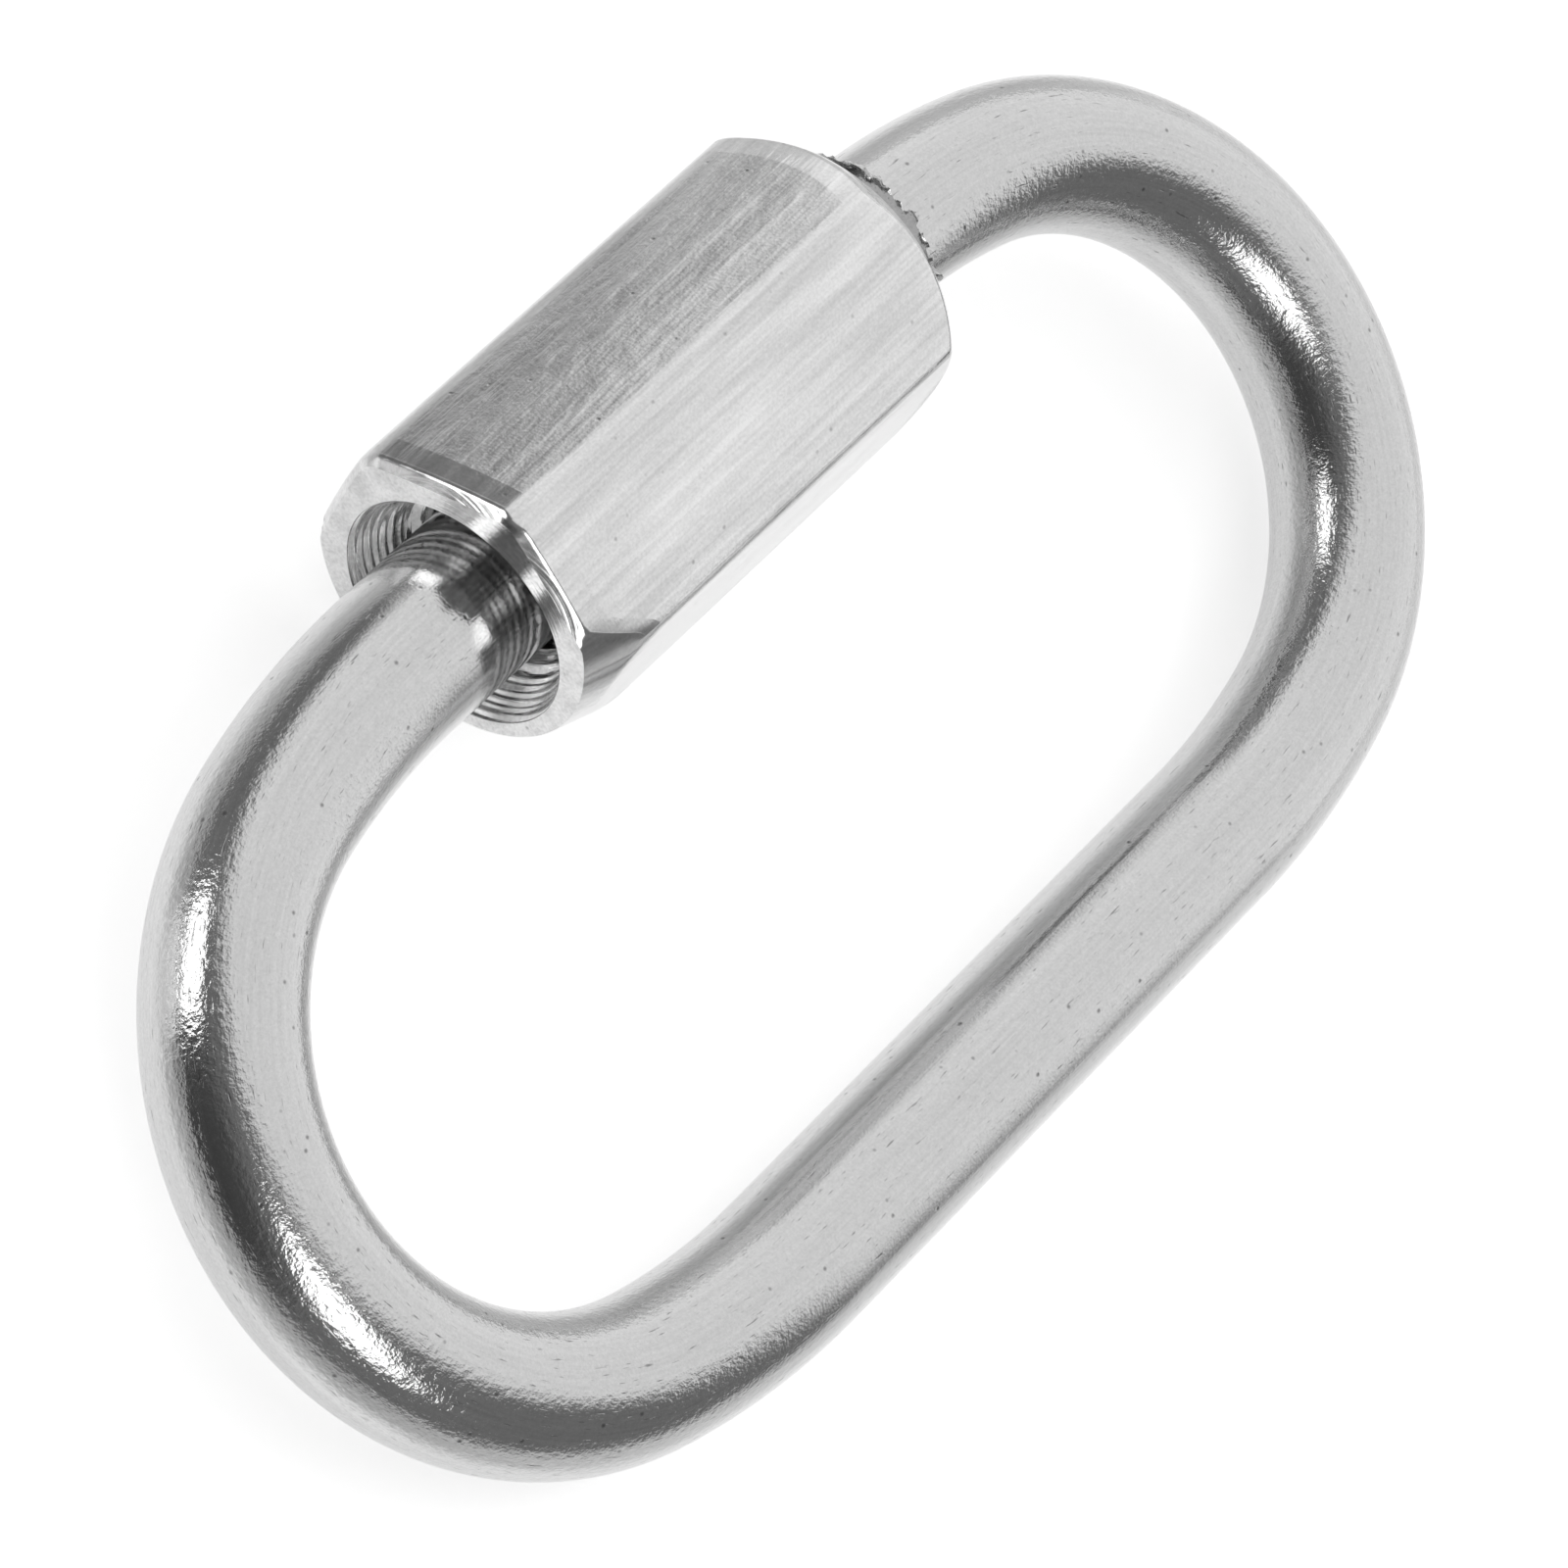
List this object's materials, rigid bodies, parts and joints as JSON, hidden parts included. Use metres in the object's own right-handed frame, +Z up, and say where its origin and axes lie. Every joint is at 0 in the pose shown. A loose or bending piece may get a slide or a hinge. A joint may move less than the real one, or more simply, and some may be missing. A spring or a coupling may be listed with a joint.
{
  "type": "chain quick link",
  "caption": "Oval chain link bent from round steel rod, with a gate in one long side that a hexagon sleeve nut screws across to close the link.",
  "frame": {"origin": "middle of the bounding box on the surface that the link lies on", "axes": "+X along the nut, from the long rod end's side to the short one's; +Y from the plain side to the nut's side; +Z up"},
  "size_m": [0.05, 0.0272, 0.0098],
  "materials": {
    "rod_steel": "polished drawn stainless steel with fine lengthwise draw lines and small pits",
    "nut_steel": "bright drawn stainless hexagon bar with turned end chamfers"
  },
  "bodies": {
    "link": {"link_body": "rod_steel"},
    "nut": {"sleeve_nut": "nut_steel"}
  },
  "joints": [
    {"name": "nut_slide", "type": "slide", "parent": "link", "child": "nut", "axis": [-1, 0, 0], "range_m": [0, 0.008]}
  ]
}
